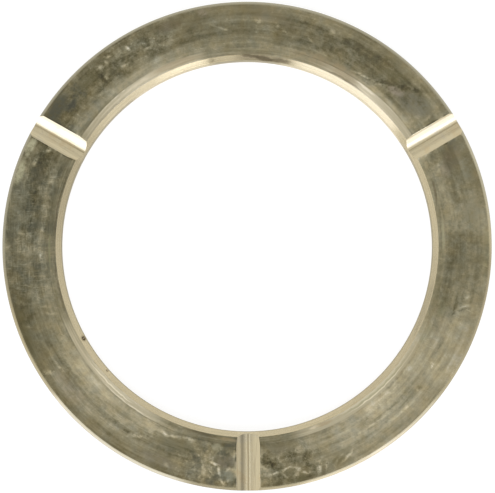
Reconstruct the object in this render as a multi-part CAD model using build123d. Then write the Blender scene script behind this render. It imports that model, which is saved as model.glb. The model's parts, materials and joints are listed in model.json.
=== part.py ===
from build123d import *
import math
import os

# Differential thrust washer: a flat bronze ring that takes the end thrust of a gear
# and keeps it off the housing. It lies on its plain back with the thrust face up.
# The origin is the centre of the back face, and +Z is the axis of the bore.
# Lengths are millimetres and angles are degrees.

# Ring
bore_diameter = 76.0
ring_width = 12.0  # from the bore to the rim, along a radius
thickness = 5.0

# Turned edges of the thrust side
rim_chamfer_width = 0.65
rim_chamfer_angle = 30.0  # how steeply it falls from the thrust face to the rim
bore_chamfer_width = 1.15
bore_chamfer_angle = 45.0  # how steeply it falls from the lead-in to the bore
lead_in_width = 1.6  # the shallow cone between the bore chamfer and the thrust face
lead_in_angle = 6.0  # how steeply that cone falls towards the bore

# Turned edges of the back
back_chamfer = 0.4  # at 45 degrees, on the bore and on the rim

# Oil grooves across the thrust face
groove_count = 3
first_groove_angle = 30.0  # from +X, anticlockwise seen from above
groove_nose_radius = 3.5  # of the round-nosed cutter that makes them
groove_depth = 0.95  # below the thrust face
cutter_overrun = 2.0  # how far the cutter passes the bore and the rim

# Radii that follow from the sizes above
bore_radius = bore_diameter / 2
rim_radius = bore_radius + ring_width
chamfer_radius = bore_radius + bore_chamfer_width
lead_in_radius = chamfer_radius + lead_in_width

# Heights that follow from the sizes above
rim_wall_top = thickness - rim_chamfer_width * math.tan(math.radians(rim_chamfer_angle))
lead_in_foot = thickness - lead_in_width * math.tan(math.radians(lead_in_angle))
bore_wall_top = lead_in_foot - bore_chamfer_width * math.tan(math.radians(bore_chamfer_angle))
groove_floor = thickness - groove_depth


def turned_ring():
    """The ring before it is grooved: its half section, turned about the axis."""
    with BuildPart() as ring:
        with BuildSketch(Plane.XZ):
            with BuildLine():
                Polyline(
                    (bore_radius + back_chamfer, 0),
                    (rim_radius - back_chamfer, 0),
                    (rim_radius, back_chamfer),
                    (rim_radius, rim_wall_top),
                    (rim_radius - rim_chamfer_width, thickness),
                    (lead_in_radius, thickness),
                    (chamfer_radius, lead_in_foot),
                    (bore_radius, bore_wall_top),
                    (bore_radius, back_chamfer),
                    close=True,
                )
            make_face()
        revolve(axis=Axis.Z)
    return ring.part


def groove_cutter():
    """The space one pass of the cutter takes, along +X from inside the bore to past the rim.

    Its nose is round. Above the nose its flanks are upright, so a groove deeper than
    the nose radius keeps the nose's full width up to the thrust face.
    """
    nose_centre = groove_floor + groove_nose_radius
    with BuildPart() as cutter:
        with BuildSketch(Plane.YZ.offset(bore_radius - cutter_overrun)):
            with Locations((0, nose_centre)):
                Circle(groove_nose_radius)
                Rectangle(
                    2 * groove_nose_radius,
                    groove_depth + cutter_overrun,
                    align=(Align.CENTER, Align.MIN),
                )
        extrude(amount=ring_width + 2 * cutter_overrun)
    return cutter.part


def thrust_washer():
    """The finished washer: the turned ring with its radial oil grooves."""
    with BuildPart() as washer:
        add(turned_ring())
        with PolarLocations(0, groove_count, start_angle=first_groove_angle):
            add(groove_cutter(), mode=Mode.SUBTRACT)
    washer.part.label = "thrust_washer"
    return washer.part


os.makedirs("parts", exist_ok=True)
export_step(thrust_washer(), "parts/thrust_washer.step")
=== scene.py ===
import json
import math

import bpy
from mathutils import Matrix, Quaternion, Vector


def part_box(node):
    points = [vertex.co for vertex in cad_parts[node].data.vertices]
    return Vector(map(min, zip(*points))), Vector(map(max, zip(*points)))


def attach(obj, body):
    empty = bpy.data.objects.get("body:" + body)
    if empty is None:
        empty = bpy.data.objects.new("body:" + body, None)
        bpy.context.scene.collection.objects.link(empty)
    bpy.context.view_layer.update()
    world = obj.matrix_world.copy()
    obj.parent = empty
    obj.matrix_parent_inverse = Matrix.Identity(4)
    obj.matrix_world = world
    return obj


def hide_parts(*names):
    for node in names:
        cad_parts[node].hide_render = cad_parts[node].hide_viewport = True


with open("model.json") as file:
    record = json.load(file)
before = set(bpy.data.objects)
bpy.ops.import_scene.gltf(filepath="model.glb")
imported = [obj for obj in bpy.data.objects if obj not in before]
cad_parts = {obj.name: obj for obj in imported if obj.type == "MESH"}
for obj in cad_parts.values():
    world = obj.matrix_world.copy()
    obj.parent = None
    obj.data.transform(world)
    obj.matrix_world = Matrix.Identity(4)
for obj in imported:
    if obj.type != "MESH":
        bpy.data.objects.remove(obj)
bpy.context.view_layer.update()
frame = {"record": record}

mm = 0.001
tiny = 0.001 * mm

# The ring. One piece of bronze, faced and bored on a lathe: a plain back, a flat thrust
# face, a chamfered rim, and a shallow lead-in above the 45 degree chamfer of the bore.
# Each turned edge keeps a hair of a radius.
mounts = {mount["name"]: mount["dims"] for mount in frame["record"]["mounts"]}
bore_radius = mounts["bore"]["r_mm"] * mm
rim_radius = mounts["rim"]["r_mm"] * mm
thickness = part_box("thrust_washer")[1][2]
rim_chamfer_width = 0.65 * mm
rim_chamfer_angle = math.radians(30)
bore_chamfer_width = 1.15 * mm
bore_chamfer_angle = math.radians(45)
back_chamfer = 0.4 * mm
lead_in_width = 1.6 * mm
lead_in_angle = math.radians(6)
edge_radius = 0.06 * mm
edge_facets = 3
turn_steps = 720

chamfer_radius = bore_radius + bore_chamfer_width
lead_in_radius = chamfer_radius + lead_in_width
lead_in_foot = thickness - lead_in_width * math.tan(lead_in_angle)


def start_piece(add, name, **place):
    """Adds a primitive with nothing else selected, and names it."""
    bpy.ops.object.select_all(action="DESELECT")
    add(**place)
    piece = bpy.context.object
    piece.name = piece.data.name = name
    return piece


def pick(piece):
    """Selects a piece and nothing else, and makes it the one that is worked on."""
    bpy.ops.object.select_all(action="DESELECT")
    piece.select_set(True)
    bpy.context.view_layer.objects.active = piece


def settle(piece):
    """Puts a piece's place, turn and scale into its mesh."""
    pick(piece)
    bpy.ops.object.transform_apply(location=True, rotation=True, scale=True)


ring = start_piece(
    bpy.ops.mesh.primitive_plane_add,
    "washer_ring",
    size=1,
    location=((bore_radius + rim_radius) / 2, 0, thickness / 2),
    rotation=(math.radians(90), 0, 0),
)
ring.scale = (rim_radius - bore_radius, thickness, 1)
settle(ring)

# Each pass of the turning tool cuts one corner off the half section.
tool_passes = (
    (
        (rim_radius - rim_chamfer_width, thickness),
        (math.sin(rim_chamfer_angle), math.cos(rim_chamfer_angle)),
    ),
    ((rim_radius, back_chamfer), (1, -1)),
    ((bore_radius, back_chamfer), (-1, -1)),
    ((lead_in_radius, thickness), (-math.sin(lead_in_angle), math.cos(lead_in_angle))),
    (
        (chamfer_radius, lead_in_foot),
        (-math.sin(bore_chamfer_angle), math.cos(bore_chamfer_angle)),
    ),
)
bpy.ops.object.mode_set(mode="EDIT")
for (x, z), (normal_x, normal_z) in tool_passes:
    bpy.ops.mesh.select_all(action="SELECT")
    bpy.ops.mesh.bisect(
        plane_co=(x, 0, z), plane_no=(normal_x, 0, normal_z), clear_outer=True, threshold=tiny
    )
bpy.ops.mesh.select_all(action="SELECT")
bpy.ops.mesh.bevel(offset=edge_radius, segments=edge_facets, affect="VERTICES")
bpy.ops.mesh.select_all(action="SELECT")
bpy.ops.mesh.delete(type="ONLY_FACE")
bpy.ops.mesh.select_all(action="SELECT")
bpy.ops.mesh.spin(
    steps=turn_steps, angle=math.tau, center=(0, 0, 0), axis=(0, 0, 1), use_auto_merge=True
)
bpy.ops.mesh.select_all(action="SELECT")
bpy.ops.mesh.remove_doubles(threshold=tiny)
bpy.ops.mesh.normals_make_consistent(inside=False)
bpy.ops.object.mode_set(mode="OBJECT")


class Wire:
    """A number or vector inside a material, which takes plain arithmetic."""

    def __init__(self, tree, socket):
        self.tree = tree
        self.socket = socket

    def __add__(self, other):
        return self.tree.math("ADD", self, other)

    def __sub__(self, other):
        return self.tree.math("SUBTRACT", self, other)

    def __rsub__(self, other):
        return self.tree.math("SUBTRACT", other, self)

    def __mul__(self, other):
        return self.tree.math("MULTIPLY", self, other)

    def __truediv__(self, other):
        return self.tree.math("DIVIDE", self, other)

    def __abs__(self):
        return self.tree.math("ABSOLUTE", self)

    __radd__ = __add__
    __rmul__ = __mul__


class Tree:
    """The nodes of one material or of the room, each made by one call."""

    def __init__(self, owner):
        owner.use_nodes = True
        self.nodes = owner.node_tree.nodes
        self.links = owner.node_tree.links
        self.nodes.clear()

    def node(self, kind, settings=None, inputs=None, output=0):
        made = self.nodes.new("ShaderNode" + kind)
        for name, value in (settings or {}).items():
            if name == "stops":
                for place, _ in value[1:-1]:
                    made.color_ramp.elements.new(place)
                for stop, (place, tone) in zip(made.color_ramp.elements, value):
                    stop.position = place
                    stop.color = tone
            else:
                setattr(made, name, value)
        for name, value in (inputs or {}).items():
            if isinstance(value, Wire):
                self.links.new(value.socket, made.inputs[name])
            else:
                made.inputs[name].default_value = value
        return Wire(self, made.outputs[output]) if made.outputs else None

    def math(self, operation, *values):
        return self.node("Math", {"operation": operation}, dict(enumerate(values)))

    def vector(self, operation, *values, output=0):
        return self.node("VectorMath", {"operation": operation}, dict(enumerate(values)), output)

    def split(self, vector):
        """The x, y and z of a vector."""
        parts = self.node("SeparateXYZ", {}, {"Vector": vector}).socket.node.outputs
        return [Wire(self, part) for part in parts]

    def joined(self, x, y, z):
        return self.node("CombineXYZ", {}, {"X": x, "Y": y, "Z": z})

    def fade(self, value, nothing, full, most=1.0):
        """0 where the value is at nothing, most where it is at full, and a soft ramp between."""
        places = {"Value": value, "From Min": nothing, "From Max": full, "To Max": most}
        return self.node("MapRange", {"interpolation_type": "SMOOTHSTEP"}, places)

    def noise(self, place, scale=1.0, detail=3.0, roughness=0.55):
        inputs = {"Vector": place, "Scale": scale, "Detail": detail, "Roughness": roughness}
        return self.node("TexNoise", {}, inputs)

    def laid_over(self, below, colour, amount):
        """One colour laid over another by an amount from 0 to 1."""
        return self.node("Mix", {"data_type": "RGBA"}, {0: amount, 6: below, 7: colour}, 2)

    def strongest(self, masks):
        """The highest of several values at each place."""
        highest = 0.0
        for mask in masks:
            highest = self.math("MAXIMUM", mask, highest)
        return highest


def shade(red, green, blue):
    """The linear colour of one written as 0 to 255 on a screen."""

    def linear(level):
        share = level / 255
        return share / 12.92 if share <= 0.04045 else ((share + 0.055) / 1.055) ** 2.4

    return (linear(red), linear(green), linear(blue), 1)


# The finish of the turned faces. The lathe leaves marks that run round the ring. Handling
# has tarnished the flat faces, scuffed them and scratched them, most of all beside the
# oil grooves, and left the turned edges bright.
tarnish = shade(134, 128, 103)
dark_tarnish_and_shade = shade(84, 82, 62)
grey_tarnish = shade(107, 109, 96)
brown_tarnish_and_shade = shade(120, 107, 70)
rubbed_bronze = shade(186, 177, 147)
bright_bronze = shade(210, 197, 165)
# A pale grey that the rim's upper half gets as a painted reflection of the floor.
painted_floor_reflection = shade(176, 173, 156)
face_tones = (
    (0.0, shade(59, 54, 37)),
    (0.25, shade(97, 91, 65)),
    (0.5, shade(138, 131, 103)),
    (0.75, shade(179, 169, 138)),
    (1.0, shade(217, 208, 181)),
)

# For marks that are given by degrees, the ring is rolled out into a straight strip. It is cut
# at the upper left groove, opposite its middle, and has its true length at one radius in mm.
strip_middle = -30
strip_radius = 45.0

# The gleam of both finishes is drawn out across the tool's marks.
gleam_stretch = 0.88
quarter_turn = 0.25


class WasherFinish(Tree):
    """A tree that knows its way round the washer, in millimetres."""

    def __init__(self, name):
        self.material = bpy.data.materials.new(name)
        super().__init__(self.material)
        here = self.node("TexCoord", output="Object")
        self.place = self.node("VectorMath", {"operation": "SCALE"}, {0: here, "Scale": 1 / mm})
        self.x, self.y, self.z = self.split(self.place)
        self.flat = self.joined(self.x, self.y, 0.0)
        self.radius = self.vector("LENGTH", self.flat, output="Value")
        self.outward = self.vector("NORMALIZE", self.flat)
        self.east, self.north, _ = self.split(self.outward)

    def roll_out(self):
        """Lays the strip out, with a small wobble so that no mark on it is quite straight."""
        turn = self.math("ARCTAN2", self.y, self.x) - math.radians(strip_middle)
        turn = self.math("WRAP", turn, math.pi, -math.pi)
        wobble = self.noise(self.place, 0.7, 2.0) * 0.9 - 0.45
        self.strip = self.joined(turn * strip_radius + wobble, self.radius + wobble * 0.8, 0.0)

    def beside_groove(self):
        """How far a place lies to one side of its groove's middle line, below 0 on the other."""
        turn = self.math("ARCTAN2", self.y, self.x) - groove_angles[0]
        turn = self.math("WRAP", turn, groove_pitch / 2, -groove_pitch / 2)
        return self.radius * self.math("SINE", turn)

    def marks_round(self, around, across, seed=0.0, detail=3.0, roughness=0.6):
        """Noise drawn out round the ring: the cells per radian, and per mm of radius."""
        place = self.joined(
            self.east * around + seed, self.north * around, self.radius * across + self.z * across
        )
        return self.noise(place, 1.0, detail, roughness)

    def scratches(self, heading, length, width, seed, rarity):
        """Fine straight scratches on one heading, in degrees from +X."""
        along, aside = math.cos(math.radians(heading)), math.sin(math.radians(heading))
        run = self.x * (along / length) + self.y * (aside / length)
        across = self.y * (along / width) - self.x * (aside / width)
        strands = self.noise(self.joined(run, across, seed), 1.0, 2.0)
        return self.fade(strands, rarity, rarity + 0.06)

    def sector(self, middle, half, soft):
        """1 within a sector of the ring, in degrees, fading to 0 past its ends."""
        towards = (math.cos(math.radians(middle)), math.sin(math.radians(middle)), 0)
        turn = self.vector("DOT_PRODUCT", self.outward, towards, output="Value")
        return self.fade(turn, math.cos(math.radians(half + soft)), math.cos(math.radians(half)))

    def band(self, inner, outer, soft):
        """1 between two radii, fading to 0 past them."""
        past_inner = self.fade(self.radius, inner - soft, inner)
        return past_inner * self.fade(self.radius, outer + soft, outer)

    def smudge(self, start, end, width):
        """A long soft spot between two places on the face: 1 at its middle, 0 past its edge."""
        (first, inner), (last, outer) = [
            ((degrees - strip_middle + 180) % 360 - 180, radius)
            for degrees, radius in (start, end)
        ]
        run = Vector((math.radians(last - first) * strip_radius, outer - inner, 0))
        middle = (math.radians(first + last) / 2 * strip_radius, (inner + outer) / 2, 0)
        laid = {
            "Vector": self.strip,
            "Location": middle,
            "Rotation": (0, 0, math.atan2(run.y, run.x)),
            "Scale": (run.length / 2 + width, width, 1),
        }
        spot = self.node("Mapping", {"vector_type": "TEXTURE"}, laid)
        return self.node("TexGradient", {"gradient_type": "SPHERICAL"}, {"Vector": spot}, "Fac")

    def finished(self, tone, metallic, roughness, height, depth):
        """The bronze, with its marks as bump. Its gleam is drawn out across the marks."""
        bump = self.node("Bump", {}, {"Strength": 1.0, "Distance": depth, "Height": height})
        gloss = {
            "Base Color": tone,
            "Metallic": metallic,
            "Roughness": roughness,
            "Anisotropic": gleam_stretch,
            "Anisotropic Rotation": quarter_turn,
            "Normal": bump,
        }
        surface = self.node("BsdfPrincipled", {}, gloss)
        self.node("OutputMaterial", {}, {"Surface": surface})
        return self.material


# The parts of the thrust face that are paler than the rest, or darker below 0. Each has its
# middle, half its width and its soft edge in degrees, and how far it reaches across the
# face: all of it, its inner or its outer part, or two radii and a soft edge in mm.
# The paler parts at about 212 to 250 and 296 to 334 degrees are painted highlight, where the turned
# face catches the lights.
face_parts = (
    ((80, 50, 12), "inner", 0.055),
    ((43, 6, 4), "all", 0.03),
    ((114, 11, 8), "outer", 0.03),
    ((238, 12, 8), "inner", 0.04),
    ((222, 9, 6), (42.5, 46.5, 1.0), 0.03),
    ((284, 7, 5), (43.5, 46.5, 1.0), 0.05),
    ((314, 20, 14), "all", 0.16),
    ((348, 18, 10), "outer", 0.17),
    ((62, 18, 8), (42, 47, 1.0), -0.12),
    ((62, 14, 8), "outer", -0.03),
    ((97, 7, 6), "all", -0.04),
    ((97, 7, 6), (43, 47.5, 1.5), -0.07),
    ((114, 9, 6), (43.5, 46.5, 1.0), -0.06),
    ((133, 10, 6), "outer", -0.05),
    ((165, 8, 6), "inner", -0.08),
    ((241, 9, 6), "outer", -0.05),
    ((341, 8, 5), "outer", 0.06),
    ((345, 14, 8), (41.5, 47, 1.2), -0.16),
    ((320, 12, 6), "all", 0.03),
    ((320, 12, 6), "inner", 0.1),
    ((12, 8, 6), "all", 0.03),
    ((256, 8, 6), "inner", -0.18),
    ((284, 8, 5), "all", -0.09),
    ((82, 12, 8), (47.5, 50, 2.0), 0.13),
    ((228, 16, 12), "inner", 0.1),
    ((133, 18, 12), "outer", -0.1),
    ((58, 12, 12), (42.5, 47.5, 1.5), -0.05),
    ((166, 8, 8), (43.5, 46.5, 1.0), -0.06),
    ((198, 9, 8), "all", -0.03),
    ((198, 9, 8), (47.5, 50, 2.5), -0.09),
)

# Single marks on the thrust face: each from one place to another, in degrees from +X and mm
# from the axis, its width in mm, and how much paler than the face it is, or darker below 0.
marks = (
    ((99.7, 46), (93.2, 43.7), 0.2, 0.12),
    ((273.6, 40.8), (272.9, 48.8), 0.34, 0.24),
    ((266.1, 40.8), (266.2, 44.5), 0.34, 0.22),
    ((97.2, 44.6), (94.2, 44.5), 0.2, 0.08),
    ((129.6, 47.6), (129, 47), 0.4, 0.26),
    ((126.5, 48.3), (125.9, 47.8), 0.4, 0.28),
    ((127.4, 47.7), (127.1, 47.1), 0.32, 0.24),
    ((121.1, 47.6), (120.8, 46.9), 0.36, 0.28),
    ((129.6, 44.8), (129.4, 44.4), 0.32, 0.24),
    ((125.7, 44.5), (122.2, 44.5), 0.3, 0.2),
    ((117.7, 45.2), (114.7, 45.2), 0.3, 0.2),
    ((59.2, 41.6), (51.2, 42.5), 0.2, 0.22),
    ((59.7, 41.2), (53.7, 42), 0.34, -0.1),
    ((53.7, 42), (47.7, 44.4), 0.34, -0.13),
    ((47.7, 44.4), (44.2, 46), 0.36, -0.13),
    ((44.2, 46), (40.7, 48), 0.36, -0.13),
    ((40.7, 48), (39.2, 48.9), 0.34, -0.1),
    ((80.5, 44.8), (79.1, 44.2), 0.26, 0.18),
    ((73.3, 44.6), (71.9, 43.7), 0.26, 0.16),
    ((68.1, 47.3), (67.4, 46.8), 0.5, 0.2),
    ((86.9, 46.1), (86.5, 45.9), 0.45, 0.2),
    ((81.9, 45.6), (81.5, 45.4), 0.45, 0.2),
    ((35, 46), (34.7, 44.5), 0.32, 0.18),
    ((159.2, 46.5), (157.2, 46.6), 0.42, 0.32),
    ((154.4, 45.1), (153.9, 44.9), 0.4, 0.32),
    ((161.7, 42.4), (161.4, 42), 0.42, 0.26),
    ((175.7, 41.8), (174.7, 41.8), 0.38, 0.3),
    ((175.7, 44.6), (169.7, 44.6), 0.32, -0.2),
    ((169.7, 44.6), (164.7, 44.4), 0.5, -0.24),
    ((176.7, 47), (176.7, 44), 0.3, 0.2),
    ((185.7, 42.3), (179.7, 42.3), 0.28, 0.2),
    ((199.2, 49), (196.7, 44.5), 0.8, -0.08),
    ((195.7, 49), (193.2, 45), 0.8, -0.08),
    ((191.7, 48.5), (190.2, 45), 0.7, -0.08),
    ((199.5, 41), (198.3, 43.2), 0.3, 0.15),
    ((196.9, 42), (196.2, 44.5), 0.28, 0.12),
    ((194.9, 46), (193.3, 48.2), 0.32, 0.15),
    ((200.7, 46.5), (199.5, 48.8), 0.32, 0.12),
    ((190.7, 46.5), (189.9, 48.2), 0.28, 0.12),
    ((237.7, 45), (227.7, 45), 1.1, 0.08),
    ((213, 47), (211.7, 48.8), 0.42, 0.24),
    ((214.4, 45.5), (211, 45.5), 0.28, 0.18),
    ((215.2, 44.2), (210.7, 44.3), 0.5, -0.14),
    ((244.2, 43.2), (243.5, 42.3), 0.42, -0.15),
    ((243.2, 43.6), (237.7, 45.4), 0.38, 0.14),
    ((240.7, 44.6), (237.2, 45.8), 0.32, 0.12),
    ((245, 41.6), (247.3, 42.2), 0.34, 0.26),
    ((247.3, 42.2), (249.9, 41.4), 0.3, 0.2),
    ((249.9, 41.4), (254.9, 41.1), 0.28, 0.18),
    ((254.9, 41), (253.1, 41.2), 0.45, 0.14),
    ((256.7, 41.1), (259.3, 41.2), 0.42, 0.22),
    ((262.2, 45.6), (263, 48), 0.3, 0.5),
    ((263, 48), (264.1, 48.8), 0.3, 0.4),
    ((264.1, 48.8), (265.9, 47.6), 0.26, 0.26),
    ((262.2, 45.1), (260.1, 44.9), 0.32, 0.42),
    ((258.5, 46.4), (257.7, 44.6), 0.24, 0.22),
    ((257.2, 47), (256.2, 46.9), 0.32, 0.2),
    ((257.2, 44.5), (256.7, 43.8), 0.28, 0.2),
    ((259.2, 47.3), (258.3, 47.1), 0.32, 0.15),
    ((249.9, 48), (249.1, 47.2), 0.42, 0.2),
    ((275.7, 47), (277.9, 46.6), 0.24, 0.4),
    ((277.9, 46.6), (280.7, 46), 0.24, 0.45),
    ((280.7, 46), (284.1, 46.9), 0.24, 0.4),
    ((282.3, 46.7), (281.3, 48.8), 0.4, 0.36),
    ((284.3, 47.9), (282.1, 46.6), 0.28, 0.34),
    ((278.7, 45.3), (274.2, 44.4), 0.8, -0.14),
    ((274.7, 46.2), (274, 45.2), 0.32, 0.15),
    ((290.2, 44.6), (284.7, 44.5), 0.6, -0.1),
    ((288.4, 46.6), (286.9, 48.9), 0.36, 0.42),
    ((290.1, 46.8), (289.1, 48.6), 0.28, 0.26),
    ((297.3, 46.7), (293, 48.5), 0.24, 0.22),
    ((294.7, 46.6), (291.2, 48), 0.24, 0.18),
    ((316.7, 44.7), (294.7, 44.6), 0.28, 0.09),
    ((316.7, 44.2), (302.7, 44.2), 0.28, -0.09),
    ((321.7, 46.4), (305.7, 46.3), 0.34, 0.09),
    ((321.7, 41.9), (312.7, 41.9), 0.9, -0.1),
    ((315.7, 42.2), (303.7, 42.2), 0.9, -0.1),
    ((53.1, 41.7), (46.7, 44), 0.3, 0.12),
    ((285.7, 48.4), (283.3, 47.5), 0.24, 0.24),
    ((279.5, 48.2), (278.3, 46.8), 0.24, 0.22),
    ((292.5, 47.2), (291.3, 48.8), 0.24, 0.16),
    ((276.3, 44.9), (273.9, 45.1), 0.26, 0.2),
    ((261.2, 47.2), (259.9, 46.2), 0.26, 0.24),
    ((265.3, 45.4), (263.7, 46.4), 0.24, 0.22),
    ((327.2, 44.6), (326.1, 45.1), 0.32, 0.25),
    ((320.7, 45.2), (318.9, 45.7), 0.28, 0.16),
    ((320.5, 45.9), (319.9, 45.4), 0.32, -0.2),
    ((327.7, 40.85), (305.7, 40.9), 0.22, -0.13),
    ((25.2, 43.5), (19.7, 41.5), 0.32, 0.12),
    ((344.7, 47.3), (343.5, 45.3), 0.32, 0.2),
    ((344, 46.8), (342.2, 44.8), 0.28, -0.18),
    ((346.7, 46.6), (345.7, 45.5), 0.32, 0.15),
    ((346.7, 44.3), (337.7, 44.3), 0.32, -0.16),
    ((334.7, 44.3), (328.7, 44.4), 0.28, -0.12),
    ((348.7, 40.3), (342.7, 40.2), 0.26, -0.12),
)

# Stains: the same, with a colour and how much of the face it covers.
pale_blue = shade(125, 127, 110)
blue_grey = shade(74, 76, 66)
purple_grey = shade(104, 97, 82)
olive_stain_and_shade = shade(88, 82, 50)
brown_stain_and_shade = shade(90, 76, 52)
pink_stain = shade(150, 138, 116)
yellow_stain = shade(186, 181, 148)
dark_stain = shade(80, 76, 58)
dull_grey = shade(113, 111, 94)
green_stain = shade(146, 144, 108)
# A pale tone for painted glints on the lead-in's turning lines.
painted_glint = shade(226, 215, 184)
orange_stain = shade(166, 146, 108)
warm_stain = shade(142, 126, 92)
stains = (
    ((146.7, 48), (140.7, 48), 1.3, blue_grey, 0.75),
    ((135.7, 47), (130.7, 47), 1.3, olive_stain_and_shade, 0.45),
    ((112.7, 47.8), (106.7, 47.8), 0.9, brown_stain_and_shade, 0.5),
    ((101, 48.5), (100.4, 48.5), 0.7, pink_stain, 0.5),
    ((47.2, 43.5), (44.2, 44.2), 0.8, pink_stain, 0.7),
    ((42.7, 44), (36.7, 45.5), 1.9, dull_grey, 0.6),
    ((52.7, 44.4), (45.2, 47.2), 1.3, olive_stain_and_shade, 0.4),
    ((77.7, 40.6), (54.7, 40.9), 1, warm_stain, 0.7),
    ((89.7, 48.4), (77.7, 46.2), 1.5, brown_stain_and_shade, 0.25),
    ((164.2, 48.6), (159.4, 48.8), 0.75, yellow_stain, 0.95),
    ((157.4, 48.8), (153.5, 48.6), 0.75, yellow_stain, 0.95),
    ((161.7, 45), (159.7, 45), 1.2, dark_stain, 0.45),
    ((175.7, 47), (164.7, 47), 2, pale_blue, 0.25),
    ((197.7, 40.3), (153.7, 40.2), 1, olive_stain_and_shade, 0.3),
    ((208.7, 48.6), (193.7, 48.6), 0.8, olive_stain_and_shade, 0.4),
    ((223.7, 46.5), (213.7, 46.5), 1.5, pink_stain, 0.3),
    ((251.7, 47.5), (242.7, 47.3), 1, purple_grey, 0.4),
    ((255.7, 43.3), (244.7, 43), 1, olive_stain_and_shade, 0.45),
    ((262, 41.6), (260.5, 41.6), 0.7, yellow_stain, 0.35),
    ((265.7, 47.3), (263.5, 47), 1.1, pale_blue, 0.7),
    ((265.7, 44.3), (262.5, 44.4), 1.2, purple_grey, 0.6),
    ((283.2, 47.5), (279.2, 47), 1.3, olive_stain_and_shade, 0.3),
    ((293.7, 47.4), (291.5, 47.6), 0.7, olive_stain_and_shade, 0.5),
    ((284, 48.8), (280.5, 48.8), 0.6, olive_stain_and_shade, 0.6),
    ((282.7, 42.3), (275.7, 42), 1, dark_stain, 0.35),
    ((24.7, 46.5), (21.7, 45.5), 1.5, brown_stain_and_shade, 0.45),
    ((24.7, 44.6), (20.2, 44.2), 0.8, brown_stain_and_shade, 0.35),
    ((26.7, 47), (25.5, 46.5), 0.9, blue_grey, 0.5),
    ((21.7, 43.2), (19.2, 43.2), 0.9, pink_stain, 0.35),
    ((21.2, 47.6), (17.2, 47.3), 1.2, pale_blue, 0.4),
    ((9.7, 46.8), (6.2, 46), 1.6, pale_blue, 0.35),
    ((344.7, 41.8), (340.2, 41.8), 0.9, green_stain, 0.35),
    ((335.7, 40.7), (330.7, 40.6), 0.6, green_stain, 0.4),
    ((339.7, 43.2), (330.7, 43.2), 1, pink_stain, 0.15),
    ((5.2, 48.9), (351.7, 48.9), 0.6, green_stain, 0.3),
)

# Lines that the turning tool left in the lead-in, dirt at its foot, and marks on the chamfer
# below it, in the same way. The pale lines in the lit stretches are painted glints on the
# turning lines. The dark marks on the chamfer from 75 to 102 degrees are a painted dark
# reflection, and the grey on the chamfer and the olive line on the lead-in from 327 to 352
# degrees are painted shade.
edge_marks = (
    ((106.7, 39.4), (91.7, 39.4), 0.18, brown_stain_and_shade, 0.3),
    ((93.7, 39.45), (79.7, 39.45), 0.2, brown_stain_and_shade, 0.3),
    ((81.7, 39.5), (65.7, 39.55), 0.2, brown_stain_and_shade, 0.3),
    ((67.7, 39.5), (51.7, 39.4), 0.2, brown_stain_and_shade, 0.6),
    # These four, on the chamfer from 75 to 102 degrees, are a painted dark reflection.
    ((91.7, 39.05), (85.7, 38.8), 0.3, brown_stain_and_shade, 0.6),
    ((87.7, 38.75), (81.7, 38.3), 0.45, brown_stain_and_shade, 0.65),
    ((83.7, 38.3), (75.7, 38.6), 0.36, brown_stain_and_shade, 0.5),
    ((101.3, 38.6), (99.7, 38.5), 0.4, olive_stain_and_shade, 0.28),
    ((204.7, 39.45), (179.7, 39.45), 0.18, brown_stain_and_shade, 0.35),
    ((181.7, 39.45), (154.7, 39.42), 0.18, brown_stain_and_shade, 0.45),
    ((145.7, 39.3), (125.7, 39.3), 0.16, brown_stain_and_shade, 0.2),
    ((261.7, 39.5), (249.7, 39.45), 0.22, brown_stain_and_shade, 0.4),
    ((19.7, 40.2), (10.7, 39.6), 0.28, brown_stain_and_shade, 0.5),
    ((327.7, 40.75), (305.7, 40.8), 0.2, brown_stain_and_shade, 0.5),
    ((235.7, 39.8), (213.7, 39.8), 0.16, painted_glint, 0.9),
    ((243.7, 40.45), (220.7, 40.45), 0.13, painted_glint, 0.7),
    ((325.7, 39.7), (296.7, 39.7), 0.3, green_stain, 0.45),
    ((324.7, 40), (299.7, 40), 0.15, painted_glint, 0.75),
    ((291.7, 39.5), (288.2, 39.5), 0.3, bright_bronze, 0.7),
    ((240.7, 39.35), (210.7, 39.35), 0.3, painted_glint, 0.3),
    ((331.7, 39.3), (290.7, 39.3), 0.3, painted_glint, 0.35),
    # Painted shade on the chamfer from 327 to 352 degrees.
    ((351.7, 38.6), (327.7, 38.6), 0.5, dull_grey, 0.22),
    ((56.7, 40.4), (48.7, 40.3), 0.2, painted_glint, 0.6),
    ((139.7, 40.6), (123.7, 40.6), 0.14, painted_glint, 0.6),
    ((133.7, 39.9), (103.7, 39.9), 0.3, bright_bronze, 0.5),
    ((120.7, 40), (101.7, 40), 0.7, warm_stain, 0.6),
    ((64.7, 40.1), (54.7, 40.1), 0.7, warm_stain, 0.5),
    ((7.7, 40.1), (356.7, 40.1), 0.26, yellow_stain, 0.45),
    # Painted shade on the lead-in from 332 to 352 degrees.
    ((351.7, 40.1), (332.7, 40.1), 0.6, olive_stain_and_shade, 0.35),
    ((186.7, 40.4), (175.7, 40.4), 0.24, green_stain, 0.6),
    ((295.7, 39.6), (290.2, 39.5), 0.36, orange_stain, 0.5),
    ((266.7, 39.8), (261.2, 39.7), 0.4, orange_stain, 0.45),
)

# Two nicks in the bore's chamfer: degrees from +X, mm from the axis, height and size in mm,
# and how dark they are.
nicks = ((209.3, 38.35, 4.12, 0.42, 0.8), (221.5, 38.3, 4.02, 0.24, 0.4))

# Where the oil grooves lie and how wide they are, since the face is most scuffed beside them.
groove_angles = [math.radians(degrees) for degrees in (30, 150, 270)]
groove_pitch = math.tau / len(groove_angles)
nose_radius = 3.5 * mm
groove_depth = 0.95 * mm
groove_half = math.sqrt(nose_radius**2 - (nose_radius - groove_depth) ** 2)


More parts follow.
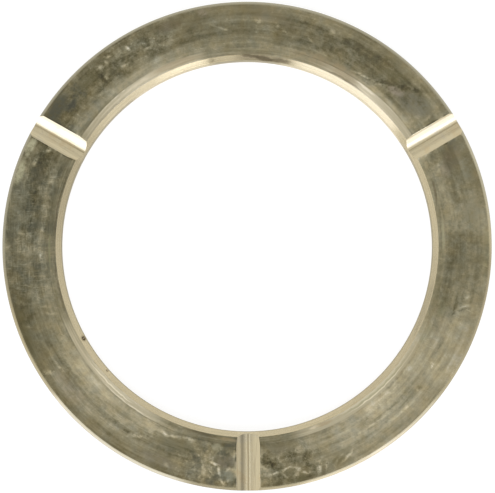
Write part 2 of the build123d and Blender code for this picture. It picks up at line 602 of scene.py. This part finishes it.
def turned_bronze():
    """The lathe's finish, for all but the grooves."""
    finish = WasherFinish("turned_bronze")
    finish.roll_out()
    fade, over = finish.fade, finish.laid_over
    streaks = finish.marks_round(4, 1.1, detail=4, roughness=0.68)
    broad_streaks = finish.marks_round(1.6, 0.4, seed=7, detail=3)
    turning = finish.marks_round(2.5, 3.2, seed=3, detail=3, roughness=0.65)
    clouds = finish.noise(finish.place, 0.13, 2.0)
    patches = finish.noise(finish.place, 0.36, 4.0, 0.6)
    grain = finish.noise(finish.place, 1.5, 4.0, 0.7)
    past_lip = abs(finish.beside_groove()) - groove_half / mm

    # How the flat face varies from place to place.
    outer_part = fade(finish.radius, 41.6, 44.5)
    upper_left = finish.sector(133, 18, 12) * outer_part
    upper_right = finish.sector(58, 12, 12) * finish.band(42.5, 47.5, 1.5)
    left = finish.sector(176, 14, 8)
    lower_left = finish.sector(228, 16, 12)
    lower_right = finish.sector(314, 20, 14)
    right = finish.sector(5, 25, 12)
    by_bottom_groove = finish.sector(270, 13, 8) * fade(finish.radius, 41, 43)
    mottled = upper_left * 0.8 + upper_right * 0.3 + by_bottom_groove + left * 0.6 + right * 0.2
    reaches = {"all": 1.0, "outer": outer_part, "inner": 1 - outer_part}
    value = reaches["inner"] * 0.08 + 0.435
    for part, reach, lift in face_parts:
        across = reaches[reach] if reach in reaches else finish.band(*reach)
        value = value + finish.sector(*part) * across * lift
    value = value + (patches - 0.5) * (mottled * 0.8 + 0.35)
    value = value + (grain - 0.5) * (mottled * 0.5 + 0.4)
    drawn_out = 0.45 + lower_right * 0.1 + lower_left * 0.25 - right * 0.15
    value = value + (streaks - 0.5) * drawn_out + (broad_streaks - 0.5) * 0.45

    # Fine scratches and single marks, paler than the face, and a few dark ones.
    hatching = finish.strongest(
        [
            finish.scratches(4, 3.0, 0.2, 11.0, 0.6) * left,
            finish.scratches(92, 3.0, 0.2, 23.0, 0.6) * left,
            finish.scratches(155, 4.0, 0.18, 31.0, 0.66),
            finish.scratches(25, 3.0, 0.18, 47.0, 0.64) * by_bottom_groove,
            finish.scratches(70, 2.5, 0.18, 59.0, 0.64) * by_bottom_groove,
        ]
    )
    flecks = fade(grain, 0.62, 0.72) * (0.15 + upper_left * 0.42 + by_bottom_groove * 0.4)
    pale = dark = 0.0
    for start, end, width, lift in marks:
        mark = finish.smudge(start, end, width * 1.5)
        if lift > 0:
            pale = finish.math("MULTIPLY_ADD", mark, lift * 1.5, pale)
        else:
            dark = finish.math("MULTIPLY_ADD", mark, -lift * 1.5, dark)
    pale = pale * fade(grain, 0.32, 0.52)
    dark = dark * (0.5 + fade(grain, 0.62, 0.42) * 0.5)
    burr = fade(past_lip + grain * 1.4, 1.2, 0.7) * fade(patches, 0.45, 0.58)
    scratched = finish.strongest([pale * 3, hatching * 0.5, flecks, burr])
    value = value + scratched * 0.32 - dark
    value = value - fade(past_lip, 0.45, 0.15) * 0.12
    face_tone = finish.node("ValToRGB", {"stops": face_tones}, {"Fac": value})
    warmth = finish.noise(finish.place, 0.4, 2.0) * 0.8 - 0.4
    warmth = warmth + finish.sector(238, 26, 12) * 0.07 + finish.sector(300, 24, 12) * 0.03
    warmth = warmth + finish.sector(62, 24, 12) * 0.06 - left * 0.08
    face_tone = finish.vector(
        "MULTIPLY", face_tone, finish.joined(warmth * 0.26 + 1, 1.0, 1 - warmth * 0.5)
    )
    browned = fade(clouds, 0.45, 0.7) * fade(patches, 0.3, 0.6) + fade(finish.radius, 46, 49) * 0.6
    face_tone = over(face_tone, brown_tarnish_and_shade, browned * 0.3)
    grey_parts = left + finish.sector(262, 5, 4) + finish.sector(143, 5, 6)
    greyed = fade(patches, 0.55, 0.35) * grey_parts
    face_tone = over(face_tone, grey_tarnish, greyed * 0.3)
    ragged = fade(patches + (grain - 0.5) * 0.9, 0.32, 0.6) * 0.75 + 0.25
    for start, end, width, colour, cover in stains:
        stain = fade(finish.smudge(start, end, width * 1.5), 0, 0.6, cover)
        face_tone = over(face_tone, colour, stain * ragged)

    # The turned edges, the bore and the rim, brighter than the face. The lead-in keeps much
    # of the face's tarnish, but for four stretches of painted highlight where its slope faces the
    # lights, and has a brown line at its foot.
    lead_in = finish.band(chamfer_radius / mm, lead_in_radius / mm, 0.05)
    on_rim = fade(finish.radius, 49.2, 49.4)
    lead_in_highlight = (
        finish.sector(44, 9, 6)
        + finish.sector(57, 6, 5) * 0.5
        + finish.sector(125, 18, 6) * 1.1
        + finish.sector(222, 14, 10)
        + finish.sector(307, 18, 7)
    )
    # The rim's tone is partly painted light. Its tarnish is painted heavier at the top and lighter
    # towards the lights, as painted shade. Its upper half gets a pale grey as a painted reflection
    # of the floor. Its inner part takes the face's tone, more on the upper left as painted shade.
    rim_tarnish_and_shade = 0.45 - finish.sector(262, 60, 14) * 0.1 - finish.sector(0, 28, 12) * 0.35
    rim_tarnish_and_shade = rim_tarnish_and_shade - finish.sector(292, 16, 8) * 0.22 + finish.sector(240, 14, 8) * 0.2
    edge_tone = over(bright_bronze, tarnish, lead_in * 0.9 + on_rim * rim_tarnish_and_shade)
    edge_tone = over(edge_tone, rubbed_bronze, fade(streaks, 0.5, 0.75) * 0.4)
    edge_tone = over(edge_tone, brown_tarnish_and_shade, fade(turning, 0.5, 0.35) * (0.15 + lead_in * 0.2))
    edge_tone = over(edge_tone, painted_floor_reflection, on_rim * (1 - finish.sector(276, 80, 20)) * 0.6)
    dim_rim = fade(finish.radius, 49.75, 49.4) * 0.5 + finish.sector(135, 45, 15) * 0.08
    edge_tone = over(edge_tone, face_tone, on_rim * dim_rim)
    # In those four stretches the lead-in gets painted highlight: less of the face's tone, more
    # bright bronze, and paler turning lines.
    inner_share = fade(finish.radius, 41.0, 40.3)
    edge_tone = over(edge_tone, face_tone, lead_in * (0.85 - lead_in_highlight * inner_share * 0.6))
    edge_tone = over(edge_tone, bright_bronze, lead_in_highlight * inner_share * lead_in * 0.38)
    lines = fade(turning, 0.52, 0.64) * lead_in
    edge_tone = over(edge_tone, bright_bronze, lines * (0.12 + lead_in_highlight * 0.35))
    thrust_side = fade(finish.z, 3.3, 3.8) * (0.6 + streaks * 0.6)
    for start, end, width, colour, cover in edge_marks:
        line = fade(finish.smudge(start, end, width * 1.3), 0, 0.55, cover)
        edge_tone = over(edge_tone, colour, line * thrust_side)
    # The bore's wall gets painted shade, except in two stretches that face the lights.
    in_bore = fade(finish.radius, bore_radius / mm + 0.1, bore_radius / mm + 0.03)
    lit_bore = finish.sector(56, 20, 6) + finish.sector(114, 11, 4)
    edge_tone = over(edge_tone, dark_tarnish_and_shade, in_bore * (1 - lit_bore) * 0.38)
    back_tone = over(tarnish, dark_tarnish_and_shade, fade(patches + streaks, 0.82, 1.22) * 0.5)

    for degrees, from_axis, height, size, darkness in nicks:
        turned = math.radians(degrees)
        spot = (from_axis * math.cos(turned), from_axis * math.sin(turned), height)
        gap = finish.vector("DISTANCE", finish.place, spot, output="Value")
        edge_tone = over(edge_tone, brown_stain_and_shade, fade(gap, size * 2.0, size * 0.7, darkness))

    top = thickness / mm
    on_face = fade(finish.z, top - 0.03, top - 0.005)
    on_back = fade(finish.z, 0.02, 0.005)
    tone = over(over(edge_tone, face_tone, on_face), back_tone, on_back)
    dull = finish.math("MAXIMUM", on_face, on_back)
    roughness = 0.16 + (dull + lead_in * 0.7) * 0.25 + grain * 0.1 - scratched * on_face * 0.08
    roughness = roughness + in_bore * 0.3
    metallic = 1 - (dull + lead_in * 0.6) * 0.2
    height = turning * 0.6 + streaks * 0.4 - scratched * on_face * 0.5
    return finish.finished(tone, metallic, roughness, height, 0.012 * mm)


# The oil grooves. A round-nosed cutter runs straight across the thrust face three times,
# and leaves a slightly broken edge where each groove meets the face.
lip_radius = 0.09 * mm
lip_facets = 4
nose_points = 112
nose_centre = thickness - groove_depth + nose_radius
overrun = 2 * mm
shoulder = 1 * mm
shoulder_rise = shoulder * math.tan(math.radians(8))


def milled_bronze():
    """The groove cutter's finish: bright, with marks that run the length of the groove, and painted
    shade along its bottom.
    """
    finish = WasherFinish("milled_bronze")
    fade, over = finish.fade, finish.laid_over
    aside = finish.beside_groove()
    along = finish.joined(finish.radius * 0.12, aside * 2.6, finish.east * 3)
    lines = finish.noise(along, 1.0, 5.0, 0.7)
    grime = finish.noise(finish.place, 0.9, 5.0, 0.65)
    # Painted shade: a dark line along the bottom of each groove.
    middle = fade(abs(aside + (grime - 0.5) * 0.2), 0.22, 0.06)
    tone = over(bright_bronze, tarnish, fade(lines, 0.5, 0.3) * 0.3)
    tone = over(tone, brown_tarnish_and_shade, middle * 0.42)
    tone = over(tone, dark_tarnish_and_shade, fade(grime, 0.6, 0.75) * 0.2)
    stains = finish.noise(finish.place, 0.22, 3.0, 0.6)
    tone = over(tone, shade(200, 172, 124), fade(stains, 0.52, 0.68) * 0.28)
    tone = over(tone, shade(182, 178, 170), fade(stains, 0.46, 0.34) * 0.22)
    roughness = 0.09 + grime * 0.08
    return finish.finished(tone, 1.0, roughness, lines, 0.004 * mm)


finishes = (turned_bronze(), milled_bronze())
turned_finish, milled_finish = 0, 1


def take_finish(piece, number):
    """Gives a piece the finishes, and lays one of them on all its faces."""
    for finish in finishes:
        piece.data.materials.append(finish)
    for face in piece.data.polygons:
        face.material_index = number


def select_height(piece, height):
    """Selects the points at one height of the piece that is being edited."""
    bpy.ops.mesh.select_all(action="DESELECT")
    bpy.ops.object.mode_set(mode="OBJECT")
    for vertex in piece.data.vertices:
        vertex.select = abs(vertex.co.z - height) < tiny
    bpy.ops.object.mode_set(mode="EDIT")


def groove_cutter(number, angle):
    """The round nose with its shoulders, run out past the rim and past the bore."""
    cutter = start_piece(
        bpy.ops.mesh.primitive_circle_add,
        f"groove_cutter_{number}",
        vertices=nose_points,
        radius=nose_radius,
        fill_type="NGON",
        location=(bore_radius - overrun, 0, nose_centre),
        rotation=(math.radians(90), 0, math.radians(90)),
    )
    settle(cutter)
    bpy.ops.object.mode_set(mode="EDIT")
    bpy.ops.mesh.select_all(action="SELECT")
    bpy.ops.mesh.bisect(
        plane_co=(0, 0, thickness), plane_no=(0, 0, 1), clear_outer=True, threshold=tiny
    )
    bpy.ops.mesh.select_mode(type="VERT")
    select_height(cutter, thickness)
    bpy.ops.mesh.extrude_region_move(TRANSFORM_OT_translate={"value": (0, 0, shoulder_rise)})
    bpy.ops.transform.resize(value=(1, 1 + shoulder / groove_half, 1))
    bpy.ops.mesh.extrude_region_move(TRANSFORM_OT_translate={"value": (0, 0, overrun)})
    bpy.ops.mesh.select_all(action="SELECT")
    bpy.ops.mesh.dissolve_faces()
    select_height(cutter, thickness)
    bpy.ops.mesh.bevel(offset=lip_radius, segments=lip_facets, affect="VERTICES")
    bpy.ops.mesh.select_mode(type="FACE")
    bpy.ops.mesh.select_all(action="SELECT")
    run = rim_radius - bore_radius + 2 * overrun
    bpy.ops.mesh.extrude_region_move(TRANSFORM_OT_translate={"value": (run, 0, 0)})
    bpy.ops.mesh.select_all(action="SELECT")
    bpy.ops.mesh.normals_make_consistent(inside=False)
    bpy.ops.object.mode_set(mode="OBJECT")
    cutter.rotation_euler = (0, 0, angle)
    settle(cutter)
    take_finish(cutter, milled_finish)
    return cutter


def cut_away(piece, cutter):
    """Takes the cutter's shape out of the piece. The cut keeps the cutter's finish."""
    pick(piece)
    bpy.ops.object.modifier_add(type="BOOLEAN")
    cut = piece.modifiers[-1]
    cut.operation = "DIFFERENCE"
    cut.solver = "EXACT"
    cut.object = cutter
    bpy.ops.object.modifier_apply(modifier=cut.name)
    pick(cutter)
    bpy.ops.object.delete()


take_finish(ring, turned_finish)
for number, angle in enumerate(groove_angles, start=1):
    cut_away(ring, groove_cutter(number, angle))

# The nicks. Knocks have left two small dents in the chamfer of the bore. Each is a little
# wider across the chamfer than along it.
nick_stretch = (1.3, 0.8, 0.9)
for number, (degrees, from_axis, height, size, _) in enumerate(nicks, start=1):
    nick_cutter = start_piece(
        bpy.ops.mesh.primitive_ico_sphere_add,
        f"nick_cutter_{number}",
        subdivisions=3,
        radius=size * mm,
        location=(from_axis * mm, 0, height * mm),
    )
    nick_cutter.scale = nick_stretch
    settle(nick_cutter)
    nick_cutter.rotation_euler = (0, 0, math.radians(degrees))
    settle(nick_cutter)
    take_finish(nick_cutter, turned_finish)
    cut_away(ring, nick_cutter)

# The finished ring gets whole flat faces and a soft shading that stops at its sharp edges.
smoothing_angle = math.radians(35)
upright = 0.9999
pick(ring)
bpy.ops.object.mode_set(mode="EDIT")
bpy.ops.mesh.select_mode(type="FACE")
bpy.ops.mesh.select_all(action="SELECT")
bpy.ops.mesh.remove_doubles(threshold=tiny / 2)
bpy.ops.mesh.select_all(action="DESELECT")
bpy.ops.object.mode_set(mode="OBJECT")
for face in ring.data.polygons:
    face.select = face.normal.z > upright and abs(face.center.z - thickness) < tiny
bpy.ops.object.mode_set(mode="EDIT")
bpy.ops.mesh.dissolve_faces()
bpy.ops.object.mode_set(mode="OBJECT")
bpy.ops.object.shade_smooth_by_angle(angle=smoothing_angle)
bpy.ops.object.modifier_add(type="WEIGHTED_NORMAL")
ring.modifiers[-1].keep_sharp = True
bpy.ops.object.modifier_apply(modifier=ring.modifiers[-1].name)

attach(ring, "root")
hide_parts("thrust_washer")

# The floor. A plain pale table, a hair below the washer's back. To the camera and in
# reflections it is white, and it keeps the washer's shadow.
below_back = 0.02 * mm
floor_size = 3
floor = start_piece(
    bpy.ops.mesh.primitive_plane_add, "floor", size=floor_size, location=(0, 0, -below_back)
)
floor_paint = bpy.data.materials.new("white_floor")
paint = Tree(floor_paint)
seen = paint.strongest(
    paint.node("LightPath", output=f"Is {ray} Ray") for ray in ("Camera", "Glossy", "Transmission")
)
plain = paint.node("BsdfDiffuse", {}, {"Color": (0.8, 0.8, 0.79, 1)})
shadow_taker = paint.node("BsdfDiffuse", {}, {"Color": (0.3, 0.3, 0.3, 1)})
glow = paint.node("Emission", {}, {"Strength": 0.8})
white = paint.node("AddShader", {}, {0: shadow_taker, 1: glow})
surface = paint.node("MixShader", {}, {0: seen, 1: plain, 2: white})
paint.node("OutputMaterial", {}, {"Surface": surface})
floor.data.materials.append(floor_paint)

# The light. A pale room with a tall soft window on each side of the near wall, a dark
# gap between the two, and a dim wall to the right.
room = bpy.data.worlds.new("pale_room")
bpy.context.scene.world = room
walls = Tree(room)
heading = walls.node("TexCoord", output="Generated")
room_x, room_y, height = walls.split(heading)
level = walls.vector("NORMALIZE", walls.joined(room_x, room_y, 0.0))


def wall_patch(azimuth, half, soft, lowest, highest, lift):
    """A patch of wall that adds to the room's light: a sector, between two elevations."""
    towards = (math.cos(math.radians(azimuth)), math.sin(math.radians(azimuth)), 0)
    turn = walls.vector("DOT_PRODUCT", level, towards, output="Value")
    within = walls.fade(turn, math.cos(math.radians(half + soft)), math.cos(math.radians(half)))
    over_foot = walls.fade(
        height, math.sin(math.radians(lowest - soft)), math.sin(math.radians(lowest + soft))
    )
    under_head = walls.fade(
        height, math.sin(math.radians(highest + soft)), math.sin(math.radians(highest - soft))
    )
    return within * over_foot * under_head * lift


ceiling = walls.fade(height, math.sin(math.radians(28)), math.sin(math.radians(80)))

# The patches of the windows and of the other walls: azimuth, half their width and their soft
# edge, then lowest and highest elevation, all in degrees, and the light they add or take.
window_patches = (
    (235, 17, 4, -20, 80, 1.0),
    (235, 17, 4, 26, 80, 0.5),
    (295, 9, 3, 22, 76, 0.5),
    (295, 9, 3, -20, 22, 0.2),
    (291, 7.5, 2, -20, 10, 1.1),
    (288, 5, 2, -20, 10, 0.5),
    (295, 9, 2, 38, 72, 0.9),
    (312, 8, 2, 50, 68, 0.9),
    (312, 9, 3, 18, 79, 0.75),
    (312, 9, 3, -20, 18, 0.14),
)
other_patches = (
    (48, 16, 4, 60, 83, 0.6),
    (132, 16, 4, 60, 83, 0.6),
    (264.5, 7, 2.5, -20, 14, -0.68),
    (280.5, 1, 1, -20, 12, -0.4),
    (148, 22, 8, -20, 16, -0.16),
    (45, 16, 8, -20, 14, -0.1),
    (345, 8, 6, -20, 16, -0.1),
    (60, 12, 6, -20, 14, -0.1),
    (180, 12, 6, 62, 74, -0.12),
    (355, 10, 10, 42, 60, -0.22),
    (355, 20, 14, -20, 76, -0.2),
    (357, 6, 6, 26, 48, -0.14),
    (14, 10, 6, 18, 40, 0.45),
    (202, 7, 6, 18, 40, 0.35),
)

windows = sum(wall_patch(*patch) for patch in window_patches)
light = 0.92 - ceiling * walls.fade(room_y, -0.12, 0.08) * 0.24 + windows
light = sum((wall_patch(*patch) for patch in other_patches), light)
daylight = walls.fade(windows, 0.0, 1.2) * walls.fade(height, -0.05, 0.3)
colour = walls.laid_over((1, 1, 0.97, 1), (0.95, 1, 1.22, 1), daylight)
background = walls.node("Background", {}, {"Color": colour, "Strength": light})
walls.node("OutputWorld", {}, {"Surface": background})

# The camera looks almost straight down, from a little to the near side.
picture_width = 495
camera_distance = 600 * mm
camera_elevation = math.radians(87.6)
camera_roll = math.radians(-0.32)
rim_pixels = 244.75
centre_from_middle = (-0.42, 1.18)
sensor_width = 36.0
rim_drop = rim_chamfer_width * math.tan(rim_chamfer_angle)
rim_spread = rim_radius / (camera_distance + rim_drop)
lens = rim_pixels / rim_spread * sensor_width / picture_width
pixel = camera_distance * sensor_width / lens / picture_width
face_centre = Vector((0, 0, thickness))
aim = face_centre - Vector((centre_from_middle[0] * pixel, centre_from_middle[1] * pixel, 0))
towards_camera = Vector((0, -math.cos(camera_elevation), math.sin(camera_elevation)))
turn = towards_camera.to_track_quat("Z", "Y") @ Quaternion((0, 0, 1), camera_roll)
camera = start_piece(
    bpy.ops.object.camera_add,
    "camera",
    location=aim + camera_distance * towards_camera,
    rotation=turn.to_euler(),
)
camera.data.sensor_width = sensor_width
camera.data.lens = lens
camera.data.clip_start = 10 * mm
bpy.context.scene.camera = camera
bpy.context.scene.view_settings.view_transform = "Standard"
